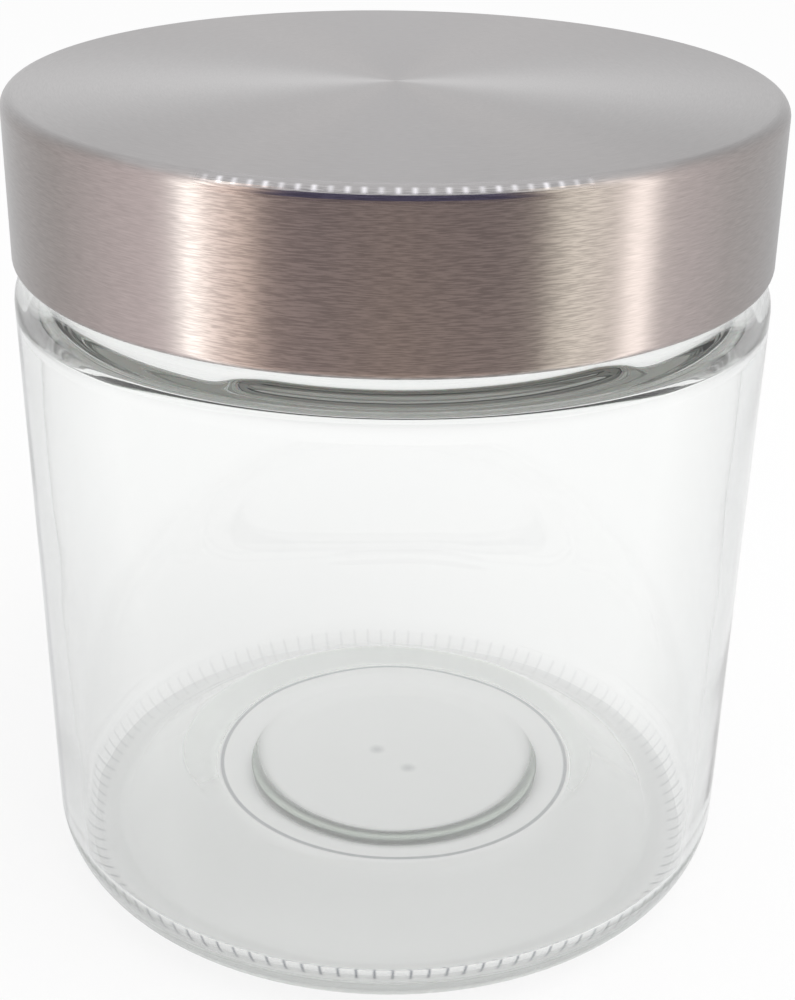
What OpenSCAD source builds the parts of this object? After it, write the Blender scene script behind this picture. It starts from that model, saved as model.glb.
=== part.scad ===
// Round glass storage jar with a brushed steel screw lid.
// Millimetres, +Z up. The origin is the centre of the ring that the jar stands on.
// The lid is drawn screwed down: the glass rim bears on the seal ring inside it.

/* [Jar] */
// Height of the glass, from the ring it stands on to the rim
jar_h = 113.5; // [95:0.5:160]
// Thickness of the side wall
wall_t = 3; // [2.2:0.1:4]
// Thickness of the glass in the neck
neck_t = 5; // [3.6:0.1:5.2]
// How much the radius shrinks from the shoulder down to the heel
body_draft = 1.1; // [0:0.1:2.5]
// How far the glass stands proud of the lid at the shoulder
body_proud = 0.1; // [0:0.05:0.5]
// Outside radius of the shoulder
shoulder_r = 5; // [4:0.2:6]
// Inside radius of the shoulder
hollow_r = 3.4; // [2.8:0.1:4.5]
// How far the inside of the shoulder starts its turn below the outside
hollow_drop = 3; // [2:0.1:3.5]
// Radius of the edge where the inside of the shoulder meets the bore of the neck
ledge_r = 3.1; // [2.5:0.1:4]
// Radius of the blend where the outside of the shoulder meets the neck
blend_r = 1; // [0.6:0.1:1.6]
// Height of the lid's lower edge over the highest point of the shoulder's curve
lid_gap = 0.7; // [0.4:0.1:1.5]
// Rounding of the rim
rim_r = 1.1; // [0.6:0.1:1.2]

/* [Base of the jar] */
// Outside radius of the rounded heel
heel_r = 8.8; // [6:0.2:11]
// Inside radius of the corner between the wall and the floor
corner_r = 4; // [2.5:0.5:8]
// Width of the flat ring that the jar stands on
foot_w = 1.4; // [1:0.1:3]
// Thickness of the floor over that ring
floor_t = 4.5; // [4:0.1:6]
// Radius of the flat middle of the floor, inside
floor_flat_r = 31; // [28:0.5:33]
// Height of the flat middle of the floor over the floor at the wall
floor_rise = 7.8; // [5:0.1:8.6]
// Radius of the pushed-up middle of the base, underneath
punt_r = 27.8; // [26:0.2:30]
// Height of the pushed-up middle of the base over the standing ring
punt_h = 8.1; // [5:0.1:8.4]
// Radius of the ends of the slopes inside and under the base
slope_r = 3; // [1:0.5:5]
// Radius of the edge where the slope underneath meets the pushed-up middle
punt_edge_r = 0.6; // [0.4:0.1:2]
// Radius of the shallow boss in the middle of the base, underneath
boss_r = 22.8; // [14:0.2:24]
// How far that boss stands down from the pushed-up middle
boss_h = 1.5; // [0.8:0.1:2]
// Rounding of the edge of that boss
boss_edge_r = 6; // [3:0.5:8]

/* [Screw thread] */
// Rise of the lid in one turn
lead = 5.08; // [4.8:0.04:6.4]
// How far the glass thread stands out of the neck
thread_h = 1.3; // [1:0.1:1.6]
// Width of the glass thread at its root
thread_w = 2.4; // [2:0.1:2.6]
// Turns of thread on the glass
thread_turns = 1.25; // [0.8:0.05:1.4]
// Distance from the rim down to the top end of the glass thread
thread_drop = 3.2; // [2.8:0.1:4]
// Radial clearance over the crests of both threads
thread_gap = 0.4; // [0.3:0.05:0.6]
// Clearance between the two flanks that pull the lid down
flank_gap = 0.3; // [0.2:0.05:0.5]
// Width of the insert's thread at its crest
insert_crest_w = 1; // [0.8:0.1:1.2]
// Width of the insert's thread at its root
insert_root_w = 2.2; // [1.8:0.1:2.4]
// Turns of thread in the insert
insert_turns = 1.1; // [0.6:0.05:1.2]
// How far the bead under the thread stands out of the neck
bead_h = 1; // [0.6:0.1:1.2]
// Height of that bead along the neck
bead_w = 2.8; // [2.4:0.1:3.2]
// Height of the middle of that bead over the foot of the neck
bead_rise = 2.6; // [2.2:0.1:3.2]

/* [Lid] */
// Outer diameter of the steel shell
lid_d = 105; // [90:0.5:130]
// Height of the steel shell
lid_h = 22.7; // [21.5:0.1:27]
// Thickness of the steel sheet
steel_t = 0.5; // [0.4:0.05:0.8]
// Outside radius of the pressed top edge
edge_r = 1.8; // [1.2:0.1:3]
// How far the lower edge of the steel turns in
hem_w = 1.6; // [1.3:0.1:2]
// Outside radius of that turned edge
hem_r = 1; // [0.9:0.05:1.2]
// Clearance between the insert and the steel round it
press_gap = 0.05; // [0.02:0.01:0.1]

/* [Insert] */
// Thickness of the insert's skirt
skirt_t = 1.5; // [1.2:0.1:2]
// Thickness of the insert's top
insert_top_t = 1.2; // [0.8:0.1:2]
// Height of the full-width collar at the top of the insert
collar_h = 2.6; // [2.2:0.1:4]
// Bevel along the lower edges of the skirt
bevel = 0.4; // [0.2:0.1:0.5]
// How far the ribs stand out of the skirt
rib_h = 0.6; // [0.4:0.1:1]
// Width of one rib
rib_w = 1.4; // [1:0.1:2]
// Number of ribs round the skirt
rib_count = 24; // [12:1:36]
// Thickness of the lip inside the seal
lip_t = 0.9; // [0.6:0.1:1.5]
// Depth of that lip
lip_h = 1.2; // [0.8:0.1:1.8]

/* [Seal] */
// Thickness of the seal ring
seal_t = 2; // [1.4:0.1:3]
// How far the seal reaches past the glass towards the middle
seal_over = 0.6; // [0.3:0.1:1.5]
// Clearance round the seal in its groove
seal_gap = 0.2; // [0.1:0.05:0.4]
// How far the bead that keeps the seal in reaches under it
keep_over = 0.15; // [0.05:0.05:0.3]
// Height of that bead
keep_h = 0.8; // [0.5:0.1:1]
// Rounding of the edges of the seal
seal_edge_r = 0.4; // [0.2:0.1:0.6]

/* [Hidden] */
$fn = 96;

// Steps in a quarter circle of an outline
arc_steps = 9;
// Steps in one turn of a thread
turn_steps = 60;
// Points round the crest of the glass thread
crest_steps = 6;
// How far a thread or a rib is sunk into the wall that carries it
sink = 0.4;
// Share of a thread's length over which each end runs out into the wall
runout_share = 0.07;

// Radii, worked out from the lid inwards
lid_r = lid_d / 2;
shell_bore_r = lid_r - steel_t;
rib_r = shell_bore_r - press_gap;
skirt_r = rib_r - rib_h;
skirt_bore_r = skirt_r - skirt_t;
thread_r = skirt_bore_r - thread_gap;
neck_r = thread_r - thread_h;
neck_bore_r = neck_r - neck_t;
seal_r = skirt_bore_r - seal_gap;
seal_bore_r = neck_bore_r - seal_over;
lip_r = seal_bore_r - seal_gap;
body_r = lid_r + body_proud;
base_r = body_r - body_draft;
foot_r = base_r - heel_r;

// Heights, worked out from the rim
groove_z = jar_h + seal_t;
insert_top_z = groove_z + insert_top_t;
lid_top_z = insert_top_z + steel_t;
lid_bottom_z = lid_top_z - lid_h;
skirt_bottom_z = lid_bottom_z + steel_t + press_gap;
collar_z = insert_top_z - collar_h;
shoulder_z = lid_bottom_z - lid_gap - shoulder_r;

// Height of the middle of the glass thread at its lower end
thread_z = jar_h - thread_drop - lead * thread_turns;
// Distance from the glass thread down to the insert's thread, middle to middle
thread_shift = (thread_w + insert_crest_w) / 2 + flank_gap;

// Points of an arc about [x, z], from angle a to angle b
function arc(x, z, r, a, b) =
    let (steps = max(2, ceil(abs(b - a) / 90 * arc_steps)))
    [for (i = [0:steps]) let (t = a + (b - a) * i / steps) [x + r * cos(t), z + r * sin(t)]];

// The same points, last one first
function reversed(points) = [for (i = [len(points) - 1:-1:0]) points[i]];

// Two arcs that lead a wall of radius x0 upwards and inwards to a wall of radius x1
function shoulder(x0, z0, r0, x1, r1) =
    let (a = acos(1 - (x0 - x1) / (r0 + r1)))
    concat(
        arc(x0 - r0, z0, r0, 0, a),
        arc(x1 + r1, z0 + (r0 + r1) * sin(a), r1, 180 + a, 180)
    );

// Two arcs and a straight slope that lead a floor at [x0, z0] inwards and up to a floor at [x1, z1]
function ramp(x0, z0, r0, x1, z1, r1) =
    let (
        run = x0 - x1,
        rise = z1 - z0 - r0 - r1,
        a = atan2(rise, run) + asin((r0 + r1) / norm([run, rise]))
    )
    concat(arc(x0, z0 + r0, r0, -90, -90 - a), arc(x1, z1 - r1, r1, 90 - a, 90));

// Underside of the base, from the axis out over the boss and down to the standing ring
function base_outline() =
    let (boss_z = punt_h - boss_h, a = acos(1 - boss_h / boss_edge_r))
    concat(
        [[0, boss_z]],
        arc(boss_r - boss_edge_r * sin(a), boss_z + boss_edge_r, boss_edge_r, -90, a - 90),
        reversed(ramp(foot_r - foot_w, 0, slope_r, punt_r, punt_h, punt_edge_r))
    );

// Rounded bead round a wall of radius x
function bead(x, z) =
    let (r = (bead_w ^ 2 / 4 + bead_h ^ 2) / (2 * bead_h), a = asin(bead_w / (2 * r)))
    arc(x + bead_h - r, z, r, -a, a);

// Outside of the glass, from the standing ring to the rim
function outer_outline() =
    let (side = shoulder(body_r, shoulder_z, shoulder_r, neck_r, blend_r), foot = side[len(side) - 1])
    concat(
        arc(foot_r, heel_r, heel_r, -90, 0),
        side,
        bead(neck_r, foot[1] + bead_rise),
        arc(neck_r - rim_r, jar_h - rim_r, rim_r, 0, 90)
    );

// Inside of the glass, from the rim to the middle of the floor
function inner_outline() = concat(
    arc(neck_bore_r + rim_r, jar_h - rim_r, rim_r, 90, 180),
    reversed(shoulder(body_r - wall_t, shoulder_z - hollow_drop, hollow_r, neck_bore_r, ledge_r)),
    arc(base_r - wall_t - corner_r, floor_t + corner_r, corner_r, 0, -90),
    ramp(base_r - wall_t - corner_r, floor_t, slope_r, floor_flat_r, floor_t + floor_rise, slope_r),
    [[0, floor_t + floor_rise]]
);

// How much of its full height a thread has at share s of its length
function thread_share(s) = min(1, s / runout_share, (1 - s) / runout_share);

// A thread of the given section, wound round the axis from height z.
// The section lists [height over the wall, place along the axis] in order round the thread,
// with its first and last point sunk in the wall. A side of 1 stands outwards and -1 inwards.
module thread(section, wall_r, side, z, turns) {
    steps = ceil(turns * turn_steps);
    count = len(section);
    points = [
        for (i = [0:steps])
            let (
                turned = turns * 360 * i / steps,
                rise = lead * turns * i / steps,
                full = thread_share(i / steps)
            )
            for (p = section)
                let (r = wall_r + side * (full * (p[0] + sink) - sink))
                [r * cos(turned), r * sin(turned), z + rise + p[1] * full]
    ];
    sides = [
        for (i = [0:steps - 1], j = [0:count - 1])
            let (a = i * count + j, b = i * count + (j + 1) % count)
            each side > 0
                ? [[a, b, b + count], [a, b + count, a + count]]
                : [[a, b + count, b], [a, a + count, b + count]]
    ];
    first = [for (j = [0:count - 1]) j];
    last = [for (j = [0:count - 1]) steps * count + j];
    ends = side > 0 ? [reversed(first), last] : [first, reversed(last)];
    polyhedron(points, concat(sides, ends));
}

// Rounded section of the thread on the glass
function glass_section() = concat(
    [[-sink, -thread_w / 2]],
    [
        for (i = [1:crest_steps - 1])
            let (t = -90 + 180 * i / crest_steps)
            [thread_h * cos(t), thread_w / 2 * sin(t)]
    ],
    [[-sink, thread_w / 2]]
);

// Tapered section of the thread in the insert, its flanks carried on into the wall
function insert_section() =
    let (
        h = skirt_bore_r - neck_r - thread_gap,
        sunk_w = insert_crest_w + (insert_root_w - insert_crest_w) * (h + sink) / h
    )
    [
        [-sink, -sunk_w / 2],
        [h, -insert_crest_w / 2],
        [h, insert_crest_w / 2],
        [-sink, sunk_w / 2]
    ];

module glass_jar() {
    color("#dfe9e6", 0.4)
        union() {
            rotate_extrude()
                polygon(concat(base_outline(), outer_outline(), inner_outline()));
            thread(glass_section(), neck_r, 1, thread_z, thread_turns);
        }
}

module seal_ring() {
    color("#e9e9e4")
        rotate_extrude()
            polygon(concat(
                arc(seal_r - seal_edge_r, groove_z - seal_edge_r, seal_edge_r, 90, 0),
                arc(seal_r - seal_edge_r, jar_h + seal_edge_r, seal_edge_r, 0, -90),
                arc(seal_bore_r + seal_edge_r, jar_h + seal_edge_r, seal_edge_r, -90, -180),
                arc(seal_bore_r + seal_edge_r, groove_z - seal_edge_r, seal_edge_r, 180, 90)
            ));
}

// Outside of the insert, from the middle of its top down to the edge of its skirt
function insert_outside() = concat(
    [[0, insert_top_z]],
    arc(rib_r - edge_r + steel_t, lid_top_z - edge_r, edge_r - steel_t, 90, 0),
    [
        [rib_r, collar_z],
        [skirt_r, collar_z],
        [skirt_r, skirt_bottom_z + bevel],
        [skirt_r - bevel, skirt_bottom_z],
        [skirt_bore_r + bevel, skirt_bottom_z],
        [skirt_bore_r, skirt_bottom_z + bevel]
    ]
);

// Inside of the insert, up the skirt, past the bead that keeps the seal in, to the lip and the axis
function insert_inside() =
    let (keep_z = jar_h - press_gap)
    [
        [skirt_bore_r, keep_z - keep_h],
        [seal_r - keep_over, keep_z - keep_h / 2],
        [skirt_bore_r, keep_z],
        [skirt_bore_r, groove_z],
        [lip_r, groove_z],
        [lip_r, groove_z - lip_h],
        [lip_r - lip_t, groove_z - lip_h],
        [lip_r - lip_t, groove_z],
        [0, groove_z]
    ];

// Ribs that centre the skirt in the steel, standing clear of its turned lower edge
module ribs() {
    bottom_z = lid_bottom_z + hem_r;
    reach = sqrt(rib_r ^ 2 - (rib_w / 2) ^ 2) - press_gap;
    for (i = [0:rib_count - 1])
        rotate(i * 360 / rib_count)
            translate([skirt_r - sink, -rib_w / 2, bottom_z])
                cube([reach - skirt_r + sink, rib_w, collar_z + sink - bottom_z]);
}

module lid_insert() {
    color("#f1f1ec")
        union() {
            rotate_extrude() polygon(concat(insert_outside(), insert_inside()));
            ribs();
            thread(insert_section(), skirt_bore_r, -1, thread_z - thread_shift, insert_turns);
        }
}

module lid_shell() {
    edge_x = lid_r - edge_r;
    edge_z = lid_top_z - edge_r;
    hem_x = lid_r - hem_r;
    hem_z = lid_bottom_z + hem_r;
    color("#b5aea8")
        rotate_extrude()
            polygon(concat(
                [[0, lid_top_z]],
                arc(edge_x, edge_z, edge_r, 90, 0),
                arc(hem_x, hem_z, hem_r, 0, -90),
                [[lid_r - hem_w, lid_bottom_z], [lid_r - hem_w, lid_bottom_z + steel_t]],
                arc(hem_x, hem_z, hem_r - steel_t, -90, 0),
                arc(edge_x, edge_z, edge_r - steel_t, 0, 90),
                [[0, insert_top_z]]
            ));
}

glass_jar();
seal_ring();
lid_insert();
lid_shell();
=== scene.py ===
# %% [markdown]
# # A glass storage jar with a brushed steel screw lid
# The jar has four pieces: the pressed glass, a silicone seal ring, a moulded plastic insert with
# the screw thread, and a drawn steel shell over it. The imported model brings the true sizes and
# the joints. This script gives every piece its finish, and models the glass again with more
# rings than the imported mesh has, because light that bends through glass shows every flat.

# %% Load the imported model
import bpy
import bmesh
import math
from mathutils import Matrix, Vector


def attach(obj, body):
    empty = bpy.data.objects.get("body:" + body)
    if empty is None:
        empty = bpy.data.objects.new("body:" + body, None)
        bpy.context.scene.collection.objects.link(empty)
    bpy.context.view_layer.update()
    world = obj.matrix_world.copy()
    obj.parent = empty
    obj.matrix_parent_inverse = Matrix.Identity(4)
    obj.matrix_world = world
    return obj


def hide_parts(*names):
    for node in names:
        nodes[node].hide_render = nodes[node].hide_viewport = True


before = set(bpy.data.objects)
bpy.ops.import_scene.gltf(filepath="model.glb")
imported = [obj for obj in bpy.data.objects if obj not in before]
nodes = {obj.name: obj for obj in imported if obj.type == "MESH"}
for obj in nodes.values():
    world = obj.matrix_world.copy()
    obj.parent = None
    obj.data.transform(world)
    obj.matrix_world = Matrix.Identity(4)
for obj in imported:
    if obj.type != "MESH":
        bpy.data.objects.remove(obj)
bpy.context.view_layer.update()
MM = 0.001

# %% [markdown]
# ## The camera
# The photograph was taken close to the jar and from a little above it. A camera was fitted to
# its outlines for the distance, the height, the pitch, the roll and the lens. The camera is
# turned by its own three directions, right, up and back, so no rotation order has to be
# guessed. The shift moves the frame by a few pixels and leaves the perspective alone.

# %% Place the camera
away, high = 244.0 * MM, 171.1 * MM
pitch, roll = math.radians(25.52), math.radians(0.78)
focal_px, frame_px, axis_px = 1806.9, (795, 1000), 390.0
lens_data = bpy.data.cameras.new("camera")
camera = bpy.data.objects.new("camera", lens_data)
bpy.context.scene.collection.objects.link(camera)
bpy.context.scene.camera = camera
lens_data.sensor_width = 36.0
lens_data.lens = focal_px * lens_data.sensor_width / frame_px[1]
lens_data.shift_x = (frame_px[0] / 2 - axis_px) / frame_px[1]
lens_data.clip_start = 0.01
level_up = Vector((0, math.sin(pitch), math.cos(pitch)))
back = Vector((0, -math.cos(pitch), math.sin(pitch)))
right = Vector((math.cos(roll), 0, 0)) + level_up * math.sin(roll)
up = level_up * math.cos(roll) - Vector((math.sin(roll), 0, 0))
turn = Matrix((right, up, back)).transposed().to_4x4()
turn.translation = Vector((0, -away, high))
camera.matrix_world = turn
print("lens", round(lens_data.lens, 2), "mm on a", lens_data.sensor_width, "mm sensor")

# %% [markdown]
# ## Outlines and the lathe
# Pressed glass is round, so its outline is drawn once as points from the axis out and spun
# about Z. An arc takes a step every few degrees, and a slope or a shoulder is two arcs that
# meet on one tangent. Spin leaves a seam and a pile of points on the axis, so the doubles are
# merged, and the normals are worked out again after that, or the glass would be inside out.

# %% Helpers for outlines
ARC_STEP = 4.0


def arc(x, z, r, a, b, step=ARC_STEP):
    """Points of an arc about (x, z), in millimetres, from angle a to angle b."""
    count = max(2, math.ceil(abs(b - a) / step))
    angles = [math.radians(a + (b - a) * i / count) for i in range(count + 1)]
    return [(x + r * math.cos(t), z + r * math.sin(t)) for t in angles]


def shoulder(x0, z0, r0, x1, r1):
    """Leads a wall of radius x0 up and inwards to a wall of radius x1."""
    a = math.degrees(math.acos(1 - (x0 - x1) / (r0 + r1)))
    top = z0 + (r0 + r1) * math.sin(math.radians(a))
    return arc(x0 - r0, z0, r0, 0, a) + arc(x1 + r1, top, r1, 180 + a, 180)


def ramp(x0, z0, r0, x1, z1, r1):
    """Leads a floor at (x0, z0) inwards and up a straight slope to a floor at (x1, z1)."""
    run, rise = x0 - x1, z1 - z0 - r0 - r1
    a = math.degrees(math.atan2(rise, run) + math.asin((r0 + r1) / math.hypot(run, rise)))
    return arc(x0, z0 + r0, r0, -90, -90 - a) + arc(x1, z1 - r1, r1, 90 - a, 90)


def rows(x, z0, z1, step):
    """Points up a straight wall of radius x."""
    count = math.ceil(abs(z1 - z0) / step)
    return [(x, z0 + (z1 - z0) * i / count) for i in range(count + 1)]


def spun(points, segments):
    """A bmesh of the outline (millimetres) spun about Z, merged and with its faces outwards."""
    bm = bmesh.new()
    chain = [bm.verts.new((x * MM, 0, z * MM)) for x, z in points]
    chain += [bm.edges.new(pair) for pair in zip(chain, chain[1:])]
    bmesh.ops.spin(bm, geom=chain, cent=(0, 0, 0), axis=(0, 0, 1), angle=math.tau,
                   steps=segments, use_merge=True, use_duplicate=False)
    bmesh.ops.remove_doubles(bm, verts=bm.verts, dist=0.002 * MM)
    bmesh.ops.recalc_face_normals(bm, faces=bm.faces)
    return bm


def piece(name, bm, smooth_to=35):
    """Makes the bmesh an object at the origin, smooth except over edges sharper than that."""
    for face in bm.faces:
        face.smooth = True
    mesh = bpy.data.meshes.new(name)
    bm.to_mesh(mesh)
    bm.free()
    mesh.set_sharp_from_angle(angle=math.radians(smooth_to))
    made = bpy.data.objects.new(name, mesh)
    bpy.context.scene.collection.objects.link(made)
    mesh.calc_loop_triangles()
    print(name, "has", len(mesh.loop_triangles), "triangles")
    return made


# %% [markdown]
# ## The glass: its outline
# The glass is 3 mm thick in the wall. The base is pushed up, with a shallow boss in its middle
# underneath. The neck is thick, and its underside makes a ledge inside the shoulder. In this
# model the ledge makes the dark band under the lid: light that comes in over the shoulder meets
# it so flatly that it is thrown up into the shaded neck. Its shape was fitted to that band.

# %% Draw the outline of the glass
body_r, base_r, neck_r, bore_r = 52.6, 51.5, 48.15, 43.15
thread_rows_z = 102.5
wall_t, corner_r, heel_r, foot_w = 3.0, 4.0, 8.8, 1.4
foot_r = base_r - heel_r
jar_h, rim_r, shoulder_z = 113.5, 1.1, 88.8
floor_z, floor_mid_z, floor_flat_r = 4.5, 12.3, 31.0
punt_r, punt_z, boss_r, boss_z, boss_edge_r = 27.8, 8.1, 22.8, 6.6, 6.0
boss_turn = math.degrees(math.acos(1 - (punt_z - boss_z) / boss_edge_r))
boss_run = boss_edge_r * math.sin(math.radians(boss_turn))
under = [(0, boss_z), (6, boss_z), (12, boss_z)]
under += arc(boss_r - boss_run, boss_z + boss_edge_r, boss_edge_r, -90, boss_turn - 90)
under += [(25.4, punt_z)] + ramp(foot_r - foot_w, 0, 3, punt_r, punt_z, 0.6)[::-1]
side = shoulder(body_r, shoulder_z, 5, neck_r, 1)
bead_z, bead_w, bead_h = side[-1][1] + 2.6, 2.8, 1.0
bead_arc_r = (bead_w ** 2 / 4 + bead_h ** 2) / (2 * bead_h)
bead_turn = math.degrees(math.asin(bead_w / (2 * bead_arc_r)))
outside = arc(foot_r, heel_r, heel_r, -90, 0, 2.5) + [(52.0, 50.0)] + side
outside += arc(neck_r + bead_h - bead_arc_r, bead_z, bead_arc_r, -bead_turn, bead_turn, 10)
outside += rows(neck_r, thread_rows_z, jar_h - rim_r - 0.1, 0.22)
outside += arc(neck_r - rim_r, jar_h - rim_r, rim_r, 0, 90, 9)
inside = arc(bore_r + rim_r, jar_h - rim_r, rim_r, 90, 180, 9)
inside += shoulder(body_r - wall_t, shoulder_z - 3, 3.4, bore_r, 3.1)[::-1]
inside += arc(base_r - wall_t - corner_r, floor_z + corner_r, corner_r, 0, -90)
inside += ramp(base_r - wall_t - corner_r, floor_z, 3, floor_flat_r, floor_mid_z, 3)
inside += [(18, floor_mid_z), (8, floor_mid_z), (0, floor_mid_z)]
glass_outline = under + outside + inside
print("the outline of the glass has", len(glass_outline), "points")

# The dark band turns light at the sides in the photograph, so the fillet is drawn wider there.
wide_fillet = shoulder(body_r - wall_t, shoulder_z - 3, 3.4, bore_r, 6.5)
fillet = shoulder(body_r - wall_t, shoulder_z - 3, 3.4, bore_r, 3.1)


def height_at(outline, r):
    """Height of an outline that leads inwards, at the radius r."""
    for (r0, z0), (r1, z1) in zip(outline, outline[1:]):
        if r1 <= r <= r0:
            return z0 + (z1 - z0) * (r0 - r) / max(r0 - r1, 1e-6)
    return outline[-1][1]


def fillet_width(degrees):
    """How much of the wide fillet the neck has at that many degrees from the front."""
    left = min(1, max(0, (-degrees - 19) / 9))
    right = min(1, max(0, (degrees - 33) / 9))
    return left * left * (3 - 2 * left) + right * right * (3 - 2 * right)

# %% [markdown]
# ## The glass: thread and ticks
# The screw thread is one low ridge that climbs the neck by 5.08 mm a turn for one and a quarter
# turns, and runs out into the neck at both ends. The neck has a ring of points every fifth of
# a millimetre, so the ridge is made by moving those points out. The heel has a ring of shallow
# grooves, and painted shade in the finish makes them show. They need finer points than the rest,
# so only those rings' edges are subdivided, and the points go back onto their circles.

# %% Model the glass
SEGMENTS = 236
lead, turns, thread_h, thread_w, run_out, sunk = 5.08, 1.25, 1.3, 2.4, 0.07, 0.4
thread_z = jar_h - 3.2 - lead * turns
ticks, tick_low, tick_high, tick_h, tick_w = 118, 1.6, 4.9, 0.03, 0.8


def thread_height(x, y, z):
    """How far the glass stands out of the neck at that place, for the screw thread."""
    best = 0.0
    for lap in range(2):
        turned = math.atan2(y, x) % math.tau + lap * math.tau
        share = turned / (turns * math.tau)
        if share >= 1:
            continue
        full = min(1, share / run_out, (1 - share) / run_out)
        if full <= 0:
            continue
        off = (z - thread_z - lead * turned / math.tau) / (full * thread_w / 2)
        if abs(off) < 1:
            best = max(best, full * (thread_h * math.sqrt(1 - off * off) + sunk) - sunk)
    return best


def tick_height(x, y, z):
    """How far the heel stands out at that place, less than nothing in the moulded grooves."""
    along = (z - tick_low) / (tick_high - tick_low)
    place = math.atan2(y, x) / math.tau * ticks
    spacing = math.tau * 47 / ticks
    across = abs(place - round(place)) * spacing / (tick_w / 2)
    ends = min(1, along / 0.2, (1 - along) / 0.2)
    if across >= 1 or ends <= 0:
        return 0.0
    return -tick_h * ends * 0.5 * (1 + math.cos(math.pi * across))


def on_heel(x, y, z):
    """Whether that place is on the outside of the heel, at the height of the grooves."""
    off = math.hypot(math.hypot(x, y) - foot_r, z - heel_r) - heel_r
    return tick_low - 0.2 <= z <= tick_high + 0.2 and abs(off) < 0.1


def is_heel_ring(edge):
    """Whether the edge runs level round the heel."""
    a, b = (v.co / MM for v in edge.verts)
    return abs(a.z - b.z) < 1e-4 and on_heel(*a)


TICKS, THREAD, DISC, FILLET = range(4)
bm = spun(glass_outline, SEGMENTS)
heel_rings = [e for e in bm.edges if is_heel_ring(e)]
bmesh.ops.subdivide_edges(bm, edges=heel_rings, cuts=5, use_grid_fill=True)
heel_mid = Vector((foot_r, heel_r))
disc_shift, disc_keep, disc_end = 1.2, 28.5, 41.0
moved = [0, 0, 0, 0]
for v in bm.verts:
    x, y, z = v.co / MM
    r = math.hypot(x, y)
    if r < disc_end and z < punt_z + 0.1:
        share = min(1, (disc_end - r) / (disc_end - disc_keep))
        v.co.x += disc_shift * share * MM
        moved[DISC] += 1
        continue
    if on_heel(x, y, z):
        drop = heel_r - z
        true_r = foot_r + math.sqrt(heel_r ** 2 - drop ** 2)
        h = tick_height(x, y, z)
        out = (Vector((true_r, z)) - heel_mid).normalized()
        new_r = true_r + out.x * h
        v.co = Vector((x / r * new_r, y / r * new_r, z + out.y * h)) * MM
        moved[TICKS] += 1
    elif bore_r - 0.01 < r < 47.5 and shoulder_z - 0.5 < z < shoulder_z + 4:
        share = fillet_width(math.degrees(math.atan2(x, -y)))
        v.co.z += share * (height_at(wide_fillet, r) - height_at(fillet, r)) * MM
        moved[FILLET] += 1
    elif abs(r - neck_r) < 0.01 and z > bead_z + bead_w / 2:
        new_r = r + thread_height(x, y, z)
        v.co = Vector((x / r * new_r, y / r * new_r, z)) * MM
        moved[THREAD] += 1
glass = piece("glass", bm, 50)
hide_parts("glass_jar")
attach(glass, "jar")
print("points moved for the ticks, the thread, the disc and the fillet:", moved)

# %% [markdown]
# ## Shared patterns
# Two patterns are kept as node groups. Spun grooves are fine lines that run round the axis:
# the pattern is stretched along the turn by reading the direction from the axis and the way
# along the outline, radius minus height, which runs smoothly from the top over the edge and
# down the side. Moulded grain is the faint unevenness of glass, silicone and plastic.

# %% Build the two node groups


def new_group(name, inputs, outputs):
    """An empty shader node group with those sockets, and its two end nodes."""
    group = bpy.data.node_groups.new(name, "ShaderNodeTree")
    for label, value in inputs.items():
        socket = group.interface.new_socket(name=label, in_out="INPUT", socket_type="NodeSocketFloat")
        socket.default_value = value
    for label in outputs:
        group.interface.new_socket(name=label, in_out="OUTPUT", socket_type="NodeSocketFloat")
    return group, group.nodes.new("NodeGroupInput"), group.nodes.new("NodeGroupOutput")


def math_node(tree, operation, a, b=None, c=None):
    """A Math node whose inputs are numbers or the outputs of other nodes."""
    node = tree.nodes.new("ShaderNodeMath")
    node.operation = operation
    for socket, value in zip(node.inputs, (a, b, c)):
        if isinstance(value, bpy.types.NodeSocket):
            tree.links.new(value, socket)
        elif value is not None:
            socket.default_value = value
    return node.outputs[0]


def axis_parts(tree):
    """The parts of the Object coordinates, and the distance from the axis."""
    place = tree.nodes.new("ShaderNodeTexCoord").outputs["Object"]
    parts = tree.nodes.new("ShaderNodeSeparateXYZ")
    tree.links.new(place, parts.inputs[0])
    x, y, z = parts.outputs
    squares = math_node(tree, "ADD", math_node(tree, "MULTIPLY", x, x), math_node(tree, "MULTIPLY", y, y))
    return place, x, y, z, math_node(tree, "SQRT", squares)


spun_grooves, start, end = new_group("spun grooves", {"Lines per metre": 9000.0, "Stretch": 3.0},
                                     ["Fine", "Broad"])
place, x, y, z, r = axis_parts(spun_grooves)
way = math_node(spun_grooves, "SUBTRACT", r, z)
join = spun_grooves.nodes.new("ShaderNodeCombineXYZ")
safe_r = math_node(spun_grooves, "MAXIMUM", r, 0.0005)
for part, socket in ((x, 0), (y, 1)):
    unit = math_node(spun_grooves, "DIVIDE", part, safe_r)
    value = math_node(spun_grooves, "MULTIPLY", unit, start.outputs["Stretch"])
    spun_grooves.links.new(value, join.inputs[socket])
across = math_node(spun_grooves, "MULTIPLY", way, start.outputs["Lines per metre"])
spun_grooves.links.new(across, join.inputs[2])
for label, scale, detail in (("Fine", 1.0, 3.0), ("Broad", 0.12, 2.0)):
    noise = spun_grooves.nodes.new("ShaderNodeTexNoise")
    noise.inputs["Scale"].default_value = scale
    noise.inputs["Detail"].default_value = detail
    spun_grooves.links.new(join.outputs[0], noise.inputs["Vector"])
    spun_grooves.links.new(noise.outputs["Fac"], end.inputs[label])

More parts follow.
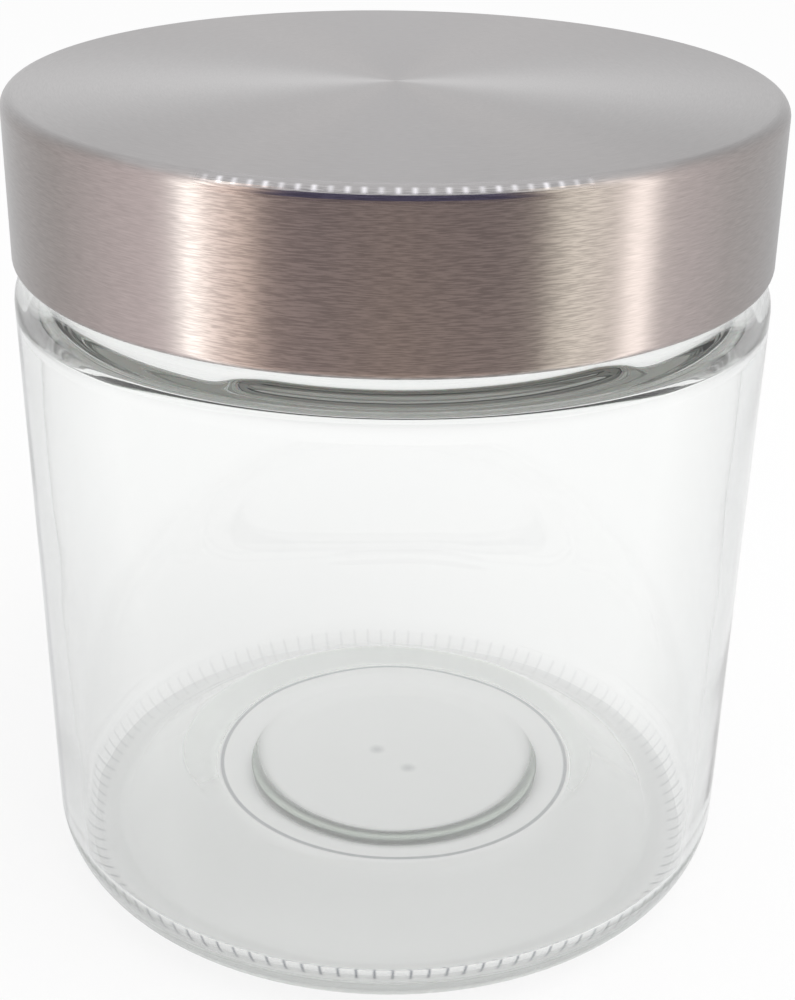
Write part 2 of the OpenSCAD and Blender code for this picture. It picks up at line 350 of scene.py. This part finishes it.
moulded_grain, start, end = new_group("moulded grain", {"Waves per metre": 60.0, "Grain per metre": 1500.0},
                                      ["Waves", "Grain"])
place = moulded_grain.nodes.new("ShaderNodeTexCoord").outputs["Object"]
for label, socket, detail in (("Waves", "Waves per metre", 1.0), ("Grain", "Grain per metre", 2.0)):
    noise = moulded_grain.nodes.new("ShaderNodeTexNoise")
    noise.inputs["Detail"].default_value = detail
    moulded_grain.links.new(place, noise.inputs["Vector"])
    moulded_grain.links.new(start.outputs[socket], noise.inputs["Scale"])
    moulded_grain.links.new(noise.outputs["Fac"], end.inputs[label])
print("node groups:", [g.name for g in (spun_grooves, moulded_grain)])

# %% [markdown]
# ## The glass: its finish
# Soda-lime glass is clear with a little green in it, which shows where the light goes a long
# way through. So its own colour is in the volume and not on the surface. It has faint waves, and
# the underside of the base is slightly rough, as a mould plate may leave it. The photograph
# shows a fine line round the middle of the base and two small marks inside it, which look like
# traces of the plate and its valve. These, the grooves of the heel and the edge-on parts of the wall are darker in
# the photograph, so a dark surface colour paints shade on them. The painted shade of the grooves fades
# at the back, and one dark contour of painted shade is on the left only, because the photograph has them so.
# The rough slope came out too dark, so it is given a little glow where it is seen sidelong, as painted light.

# %% Glass material


def new_material(name, **values):
    """A material whose Principled BSDF has those plain values, with its node tree."""
    material = bpy.data.materials.new(name)
    material.use_nodes = True
    shader = material.node_tree.nodes["Principled BSDF"]
    for label, value in values.items():
        shader.inputs[label.replace("_", " ")].default_value = value
    return material, material.node_tree, shader


def use_group(tree, group, **values):
    """Places a node group in the tree, with its own values."""
    node = tree.nodes.new("ShaderNodeGroup")
    node.node_tree = group
    for label, value in values.items():
        node.inputs[label.replace("_", " ")].default_value = value
    return node


def spread(tree, value, low, high, to_low, to_high):
    """A Map Range node that carries one range over to another and clamps it."""
    node = tree.nodes.new("ShaderNodeMapRange")
    tree.links.new(value, node.inputs["Value"])
    for label, number in (("From Min", low), ("From Max", high), ("To Min", to_low), ("To Max", to_high)):
        node.inputs[label].default_value = number
    return node.outputs["Result"]


def bump(tree, shader, height, strength, distance):
    """Feeds a height to the shader's normal through a Bump node."""
    node = tree.nodes.new("ShaderNodeBump")
    node.inputs["Strength"].default_value = strength
    node.inputs["Distance"].default_value = distance
    tree.links.new(height, node.inputs["Height"])
    tree.links.new(node.outputs["Normal"], shader.inputs["Normal"])


heel_in_r, wall_in_r, line_r = 42.8 * MM, 50.3 * MM, 27.3 * MM
mark_places, mark_r, mark_core_r = ((-1.5, 2.5), (3.5, -2.8)), 1.6 * MM, 0.3 * MM
stroke_from, stroke_full, stroke_fade, stroke_to = 0.5 * MM, 1.0 * MM, 4.4 * MM, 5.2 * MM
# How dark the painted shade is on the heel's grooves, the two marks and the line, and its share at the back of the
# grooves.
stroke_shade, mark_shade, line_shade, back_share = 0.9, 0.42, 0.72, 0.15
# Painted shade: the dark colour that the glass surface is mixed toward where it should look darker.
painted_shade_colour = (0.02, 0.03, 0.06, 1)
clear_glass, tree, shader = new_material(
    "clear glass", Base_Color=(1, 1, 1, 1), Roughness=0.0, IOR=1.52, Transmission_Weight=1.0)
place, x, y, z, r = axis_parts(tree)
plate_z = spread(tree, r, 0.029, 0.043, 0.0103, 0.0022)
underside = math_node(tree, "LESS_THAN", z, plate_z)
from_disc = math_node(tree, "SUBTRACT", x, disc_shift * MM)
squares = math_node(tree, "MULTIPLY_ADD", from_disc, from_disc, math_node(tree, "MULTIPLY", y, y))
disc_r = math_node(tree, "SQRT", squares)
plate_rough = spread(tree, disc_r, 0.0280, 0.0300, 0.28, 0.75)
on_side = math_node(tree, "GREATER_THAN", r, heel_in_r)
heel = math_node(tree, "MULTIPLY", on_side, spread(tree, z, 0.0046, 0.0064, 0.22, 0.0))
rough = math_node(tree, "MAXIMUM", math_node(tree, "MULTIPLY", underside, plate_rough), heel)
tree.links.new(rough, shader.inputs["Roughness"])
grain = use_group(tree, moulded_grain, Waves_per_metre=45.0, Grain_per_metre=400.0)
bump(tree, shader, grain.outputs["Waves"], 0.25, 0.0006)
# Painted shade: a dark line round the middle of the base and two dark marks inside it.
off_line = math_node(tree, "ABSOLUTE", math_node(tree, "SUBTRACT", disc_r, line_r))
shade = math_node(tree, "MULTIPLY", spread(tree, off_line, 0.0002, 0.0004, line_shade, 0.0), underside)
for mark_x, mark_y in mark_places:
    away_x = math_node(tree, "SUBTRACT", x, mark_x * MM)
    away_y = math_node(tree, "SUBTRACT", y, mark_y * MM)
    squares = math_node(tree, "MULTIPLY_ADD", away_x, away_x, math_node(tree, "MULTIPLY", away_y, away_y))
    near = spread(tree, math_node(tree, "SQRT", squares), mark_core_r, mark_r, mark_shade, 0.0)
    shade = math_node(tree, "MAXIMUM", shade, math_node(tree, "MULTIPLY", near, underside))
# Painted shade in the heel's grooves, strongest at the front and faint at the back.
strokes = math_node(tree, "COSINE", math_node(tree, "MULTIPLY", math_node(tree, "ARCTAN2", y, x), ticks))
strokes = math_node(tree, "POWER", math_node(tree, "MULTIPLY_ADD", strokes, 0.5, 0.5), 8.0)
strokes = math_node(tree, "MAXIMUM", strokes, 0.16)
band = math_node(tree, "MULTIPLY", spread(tree, z, stroke_from, stroke_full, 0.0, stroke_shade),
                 spread(tree, z, stroke_fade, stroke_to, 1.0, 0.0))
band = math_node(tree, "MULTIPLY", band, on_side)
band = math_node(tree, "MULTIPLY", band, spread(tree, y, -0.02, 0.02, 1.0, back_share))
band = math_node(tree, "MULTIPLY", band, tree.nodes.new("ShaderNodeNewGeometry").outputs["Backfacing"])
shade = math_node(tree, "MAXIMUM", shade, math_node(tree, "MULTIPLY", strokes, band))
# Painted shade: a dark contour on the left of the glass, and darker edge-on parts of the wall.
sidelong = tree.nodes.new("ShaderNodeLayerWeight").outputs["Facing"]
wall = math_node(tree, "GREATER_THAN", r, wall_in_r)
outer = math_node(tree, "MULTIPLY", on_side, math_node(tree, "LESS_THAN", z, 0.0042))
outer = math_node(tree, "MAXIMUM", outer, wall)
contour = math_node(tree, "MULTIPLY", spread(tree, sidelong, 0.82, 0.88, 0.0, 0.85),
                    spread(tree, x, -0.03, -0.01, 1.0, 0.0))
shade = math_node(tree, "MAXIMUM", shade, math_node(tree, "MULTIPLY", contour, outer))
edge_on = math_node(tree, "MULTIPLY", spread(tree, sidelong, 0.4, 0.97, 0.0, 0.55), wall)
shade = math_node(tree, "MAXIMUM", shade, edge_on)
# Painted shade: the masks above mix the glass's colour toward the dark colour.
shade_paint = tree.nodes.new("ShaderNodeMix")
shade_paint.data_type = "RGBA"
shade_paint.inputs["A"].default_value = (1, 1, 1, 1)
shade_paint.inputs["B"].default_value = painted_shade_colour
tree.links.new(shade, shade_paint.inputs["Factor"])
tree.links.new(shade_paint.outputs["Result"], shader.inputs["Base Color"])
# Painted light: the rough slope of the base glows faintly where it is seen sidelong.
slope = math_node(tree, "MULTIPLY", spread(tree, disc_r, 0.0278, 0.0290, 0.0, 1.0), underside)
painted_glow = math_node(tree, "MULTIPLY", spread(tree, sidelong, 0.12, 0.42, 0.0, 0.12), slope)
tree.links.new(painted_glow, shader.inputs["Emission Color"])
shader.inputs["Emission Strength"].default_value = 1.0
absorb = tree.nodes.new("ShaderNodeVolumeAbsorption")
absorb.inputs["Color"].default_value = (0.76, 0.86, 0.76, 1)
absorb.inputs["Density"].default_value = 12.0
tree.links.new(absorb.outputs[0], tree.nodes["Material Output"].inputs["Volume"])
glass.data.materials.append(clear_glass)

# %% [markdown]
# ## The lid's steel: its finish
# The shell is drawn as stainless sheet. The fan of light on its top shows that it was brushed
# while it turned, so the grooves run round the axis on the top and on the side. Such grooves spread a highlight
# across themselves: upright bands on the side and a fan on the top. The shader's anisotropy does that, on a
# tangent that runs round the axis. The grooves add fine lines to the colour and the bump. Their colour is
# stronger at the front, partly painted sheen, and bright dots on the front of the edge are painted glints, only
# there, as photographed.

# %% Steel material
brushed_steel, tree, shader = new_material(
    "brushed steel", Metallic=1.0, Roughness=0.3, Anisotropic=0.9, Anisotropic_Rotation=0.25)
front_lines, side_lines, front_turn, side_turn = 5.0, 0.6, 0.40, 0.52
grooves = use_group(tree, spun_grooves, Lines_per_metre=7500.0, Stretch=24.0)
tones = tree.nodes.new("ShaderNodeMix")
tones.data_type = "RGBA"
tones.inputs["A"].default_value = (0.355, 0.345, 0.348, 1)
tones.inputs["B"].default_value = (0.502, 0.488, 0.490, 1)
place, x, y, z, r = axis_parts(tree)
turned = math_node(tree, "ARCTAN2", x, math_node(tree, "MULTIPLY", y, -1.0))
# Partly painted sheen: the colour of the groove lines is several times stronger at the front of the side than
# elsewhere.
lines_and_sheen = spread(tree, math_node(tree, "ABSOLUTE", turned), front_turn, side_turn, front_lines, side_lines)
lines_and_sheen = math_node(tree, "MULTIPLY_ADD", lines_and_sheen, spread(tree, r, 0.0515, 0.0522, 0.0, 1.0), 1.0)
streaks = math_node(tree, "SUBTRACT", grooves.outputs["Fine"], 0.5)
streaks = math_node(tree, "MULTIPLY_ADD", streaks, lines_and_sheen, 0.5)
tree.links.new(streaks, tones.inputs["Factor"])
# Painted glints: bright dots of colour in a thin band on the front of the edge, uneven in strength.
glint_count, patch_count = 176.0, 61.0
edge_in = spread(tree, r, 0.0505, 0.0512, 0.0, 1.0)
edge_up = spread(tree, z, 0.1152, 0.1158, 0.0, 1.0)
in_front = spread(tree, math_node(tree, "ABSOLUTE", turned), 0.38, 0.46, 1.0, 0.0)
edge = math_node(tree, "MULTIPLY", math_node(tree, "MULTIPLY", edge_in, edge_up), in_front)
painted_glints = math_node(tree, "SINE", math_node(tree, "MULTIPLY", turned, glint_count))
painted_glints = math_node(tree, "POWER", math_node(tree, "MULTIPLY_ADD", painted_glints, 0.5, 0.5), 3.0)
glint_band = math_node(tree, "MULTIPLY", spread(tree, z, 0.11635, 0.11650, 0.0, 1.0),
                    spread(tree, z, 0.11690, 0.11705, 1.0, 0.0))
glint_band = math_node(tree, "MULTIPLY", glint_band, edge)
uneven = math_node(tree, "SINE", math_node(tree, "MULTIPLY", turned, patch_count))
uneven = math_node(tree, "MULTIPLY_ADD", uneven, 0.2, 0.7)
painted_glints = math_node(tree, "MULTIPLY", math_node(tree, "MULTIPLY", painted_glints, glint_band), uneven)
# Painted glints: the base colour is mixed toward near white at the dots.
glint_paint = tree.nodes.new("ShaderNodeMix")
glint_paint.data_type = "RGBA"
glint_paint.inputs["B"].default_value = (0.98, 0.96, 1.0, 1)
tree.links.new(painted_glints, glint_paint.inputs["Factor"])
tree.links.new(tones.outputs["Result"], glint_paint.inputs["A"])
tree.links.new(glint_paint.outputs["Result"], shader.inputs["Base Color"])
tree.links.new(math_node(tree, "MULTIPLY_ADD", edge, -0.12, 0.3), shader.inputs["Roughness"])
tree.links.new(math_node(tree, "MULTIPLY_ADD", edge, -0.4, 0.9), shader.inputs["Anisotropic"])
round_axis = tree.nodes.new("ShaderNodeTangent")
round_axis.direction_type = "RADIAL"
round_axis.axis = "Z"
tree.links.new(round_axis.outputs[0], shader.inputs["Tangent"])
bump(tree, shader, grooves.outputs["Fine"], 0.08, 0.00005)

# %% [markdown]
# ## The insert and the seal
# The insert is moulded polypropylene: off-white, satin, and slightly uneven where it cooled.
# The seal is translucent silicone, softer in its gloss and a little greyer. Both came out too
# dark behind the neck, so each is given a faint glow, as painted light. With it the dark band under
# the lid turns grey, as in the photograph.

# %% Plastic and silicone materials
moulded_plastic, tree, shader = new_material(
    "moulded plastic", Roughness=0.42, Subsurface_Weight=0.15, Subsurface_Scale=0.002, IOR=1.49)
grain = use_group(tree, moulded_grain, Waves_per_metre=50.0, Grain_per_metre=2500.0)
tones = tree.nodes.new("ShaderNodeMix")
tones.data_type = "RGBA"
tones.inputs["A"].default_value = (0.80, 0.80, 0.77, 1)
tones.inputs["B"].default_value = (0.88, 0.88, 0.86, 1)
tree.links.new(grain.outputs["Waves"], tones.inputs["Factor"])
tree.links.new(tones.outputs["Result"], shader.inputs["Base Color"])
tree.links.new(spread(tree, grain.outputs["Grain"], 0.3, 0.7, 0.38, 0.48), shader.inputs["Roughness"])
bump(tree, shader, grain.outputs["Grain"], 0.15, 0.00005)
# Painted light: the insert glows faintly in its own colour.
tree.links.new(tones.outputs["Result"], shader.inputs["Emission Color"])
shader.inputs["Emission Strength"].default_value = 0.13

silicone, tree, shader = new_material(
    "silicone", Roughness=0.5, Subsurface_Weight=0.3, Subsurface_Scale=0.003, IOR=1.41)
grain = use_group(tree, moulded_grain, Waves_per_metre=70.0, Grain_per_metre=3500.0)
tones = tree.nodes.new("ShaderNodeMix")
tones.data_type = "RGBA"
tones.inputs["A"].default_value = (0.74, 0.75, 0.73, 1)
tones.inputs["B"].default_value = (0.82, 0.83, 0.81, 1)
tree.links.new(grain.outputs["Waves"], tones.inputs["Factor"])
tree.links.new(tones.outputs["Result"], shader.inputs["Base Color"])
bump(tree, shader, grain.outputs["Grain"], 0.2, 0.00005)
# Painted light: the seal glows faintly in its own colour.
tree.links.new(tones.outputs["Result"], shader.inputs["Emission Color"])
shader.inputs["Emission Strength"].default_value = 0.13

for node, material in (("lid_shell", brushed_steel), ("lid_insert", moulded_plastic),
                       ("seal_ring", silicone)):
    slots = nodes[node].data.materials
    slots.clear()
    slots.append(material)
    print(node, "is finished in", material.name)

# %% [markdown]
# ## Floor and world
# The jar was photographed against white. The floor and the world show white to the camera and
# to mirrors, while the light that falls on the pieces stays at a plain level. Seen through the
# glass, the floor shows more of its own paint, with the shade of the jar and its lid in it, and
# most of it in front, so a painted shade darkens it toward the front. So the base looks grey inside the jar, and
# the ground beside it is white.

# %% Floor and world


def from_path(tree, *outputs):
    """1 for rays of those kinds, from the Light Path node, and 0 for the rest."""
    path = tree.nodes.new("ShaderNodeLightPath")
    value = path.outputs[outputs[0]]
    for label in outputs[1:]:
        value = math_node(tree, "MAXIMUM", value, path.outputs[label])
    return value


floor_paint, tree, shader = new_material("floor paint", Base_Color=(0.9, 0.9, 0.9, 1), Roughness=0.9)
glow = tree.nodes.new("ShaderNodeEmission")
glow.inputs["Strength"].default_value = 1.0
show = math_node(tree, "MULTIPLY", from_path(tree, "Is Camera Ray", "Is Glossy Ray"), 0.85)
place, x, y, z, r = axis_parts(tree)
# Painted shade: seen through the glass, the floor shows more of its shaded paint toward the front.
paint_share_and_painted_falloff = spread(tree, y, -0.025, 0.03, -0.28, -0.2)
show = math_node(tree, "MULTIPLY_ADD", from_path(tree, "Is Transmission Ray"), paint_share_and_painted_falloff, show)
blend = tree.nodes.new("ShaderNodeMixShader")
tree.links.new(show, blend.inputs[0])
tree.links.new(shader.outputs[0], blend.inputs[1])
tree.links.new(glow.outputs[0], blend.inputs[2])
tree.links.new(blend.outputs[0], tree.nodes["Material Output"].inputs["Surface"])
bm = bmesh.new()
bmesh.ops.create_grid(bm, x_segments=1, y_segments=1, size=4)
bmesh.ops.translate(bm, verts=bm.verts, vec=(0, 0, -0.3 * MM))
floor = piece("floor", bm)
floor.data.materials.append(floor_paint)

world = bpy.data.worlds.new("white room")
bpy.context.scene.world = world
world.use_nodes = True
tree = world.node_tree
seen = from_path(tree, "Is Camera Ray", "Is Glossy Ray", "Is Transmission Ray")
light = math_node(tree, "MULTIPLY_ADD", seen, 0.24, 0.76)
tree.links.new(light, tree.nodes["Background"].inputs["Strength"])
tree.nodes["Background"].inputs["Color"].default_value = (1, 1, 1, 1)

# %% [markdown]
# ## The light tent and the lamps
# Steel in a white room looks like paper. A photographer hangs cloth of different greys round
# the piece, and its side shows them as upright bands. Here the cloth is one curved sheet, with
# an apron on the floor, because the side of the lid mirrors the floor in front of it. It is
# seen in reflections alone. Two bright gaps in it make the two upright highlights.

# %% Hang the tent and set the lamps
tent_bands = [  # degrees from the front, then red, green and blue in parts of the brightest
    (-180, 0.41, 0.41, 0.41), (-140, 0.30, 0.30, 0.30), (-104, 0.27, 0.25, 0.24), (-78, 0.39, 0.34, 0.33),
    (-62, 0.44, 0.38, 0.37), (-56, 0.60, 0.55, 0.52), (-55, 1.5, 1.4, 1.3), (-52, 1.5, 1.4, 1.3),
    (-51, 0.86, 0.74, 0.66), (-46, 0.61, 0.50, 0.45), (-39, 0.51, 0.40, 0.34), (-37, 0.42, 0.33, 0.28),
    (-32.5, 0.18, 0.138, 0.122), (-20, 0.15, 0.117, 0.103), (0, 0.16, 0.123, 0.102), (26, 0.14, 0.11, 0.096),
    (37.5, 0.17, 0.138, 0.122), (43, 0.49, 0.445, 0.38), (49, 0.60, 0.545, 0.475), (61, 0.44, 0.39, 0.35),
    (64.5, 1.15, 1.03, 0.95), (69, 1.15, 1.03, 0.95), (72, 0.42, 0.375, 0.355), (86, 0.38, 0.34, 0.33),
    (104, 0.30, 0.28, 0.27), (140, 0.26, 0.26, 0.26), (180, 0.41, 0.41, 0.41)]
tent_cloth, tree, shader = new_material("tent cloth")
place, x, y, z, r = axis_parts(tree)
turned = math_node(tree, "ARCTAN2", x, math_node(tree, "MULTIPLY", y, -1.0))
where = math_node(tree, "MULTIPLY_ADD", turned, 1 / math.tau, 0.5)
ramp_node = tree.nodes.new("ShaderNodeValToRGB")
tree.links.new(where, ramp_node.inputs[0])
stops = ramp_node.color_ramp.elements
while len(stops) < len(tent_bands):
    stops.new(0.5)
for stop, (degrees, *colour) in zip(stops, tent_bands):
    stop.position = degrees / 360 + 0.5
for stop, (degrees, *colour) in zip(stops, tent_bands):
    stop.color = (*colour, 1)
front = spread(tree, math_node(tree, "ABSOLUTE", turned), math.radians(28), math.radians(40), 1.0, 0.0)
shade = math_node(tree, "MULTIPLY", spread(tree, z, 0.07, 0.15, 0.0, 1.0), front)
apron = math_node(tree, "MULTIPLY", spread(tree, r, 0.15, 0.29, 1.1, 0.0), front)
lighter = tree.nodes.new("ShaderNodeVectorMath")
lighter.operation = "SCALE"
tree.links.new(ramp_node.outputs["Color"], lighter.inputs[0])
tree.links.new(math_node(tree, "ADD", apron, 1.0), lighter.inputs["Scale"])
dusk = tree.nodes.new("ShaderNodeMix")
dusk.data_type = "RGBA"
dusk.inputs["B"].default_value = (0.05, 0.045, 0.075, 1)
tree.links.new(shade, dusk.inputs["Factor"])
tree.links.new(lighter.outputs[0], dusk.inputs["A"])


def shown_to_steel(tree, strength):
    """Finishes a card: brushed metal mirrors it, and polished glass looks straight through it."""
    glow = tree.nodes.new("ShaderNodeEmission")
    glow.inputs["Strength"].default_value = strength
    clear = tree.nodes.new("ShaderNodeBsdfTransparent")
    either = tree.nodes.new("ShaderNodeMixShader")
    later = math_node(tree, "GREATER_THAN", from_path(tree, "Ray Depth"), 1.5)
    tree.links.new(math_node(tree, "MAXIMUM", from_path(tree, "Is Singular Ray"), later), either.inputs[0])
    tree.links.new(glow.outputs[0], either.inputs[1])
    tree.links.new(clear.outputs[0], either.inputs[2])
    tree.links.new(either.outputs[0], tree.nodes["Material Output"].inputs["Surface"])
    return glow


def hang(card, material):
    """Gives a card its cloth, and lets mirrors alone see it."""
    card.data.materials.append(material)
    card.visible_camera = card.visible_diffuse = card.visible_transmission = False
    card.visible_volume_scatter = card.visible_shadow = False


tree.links.new(dusk.outputs["Result"], shown_to_steel(tree, 2.5).inputs["Color"])
tent = piece("tent", spun([(75, 0.5), (300, 0.5), (300, 400)], 96))
hang(tent, tent_cloth)
bm = bmesh.new()
bmesh.ops.create_grid(bm, x_segments=1, y_segments=1, size=0.5)
bmesh.ops.scale(bm, verts=bm.verts, vec=(0.5, 0.13, 1))
bmesh.ops.translate(bm, verts=bm.verts, vec=(0, -0.165, 0.60))
edge_card = piece("edge_card", bm)
edge_cloth, tree, shader = new_material("edge cloth")
shown_to_steel(tree, 1.0).inputs["Color"].default_value = (1, 1, 1, 1)
hang(edge_card, edge_cloth)

side_lamp = bpy.data.lights.new("side lamp", "AREA")
side_lamp.shape = "RECTANGLE"
side_lamp.size = side_lamp.size_y = 1.2
side_lamp.energy = 9.0
lamp = bpy.data.objects.new("side lamp", side_lamp)
bpy.context.scene.collection.objects.link(lamp)
lamp.location = (0.6, -0.45, 1.0)
lamp.rotation_euler = lamp.location.to_track_quat("Z", "Y").to_euler()
lamp.visible_glossy = lamp.visible_transmission = False
print("the lamp gives", side_lamp.energy, "W")
bpy.context.scene.view_settings.view_transform = "Standard"
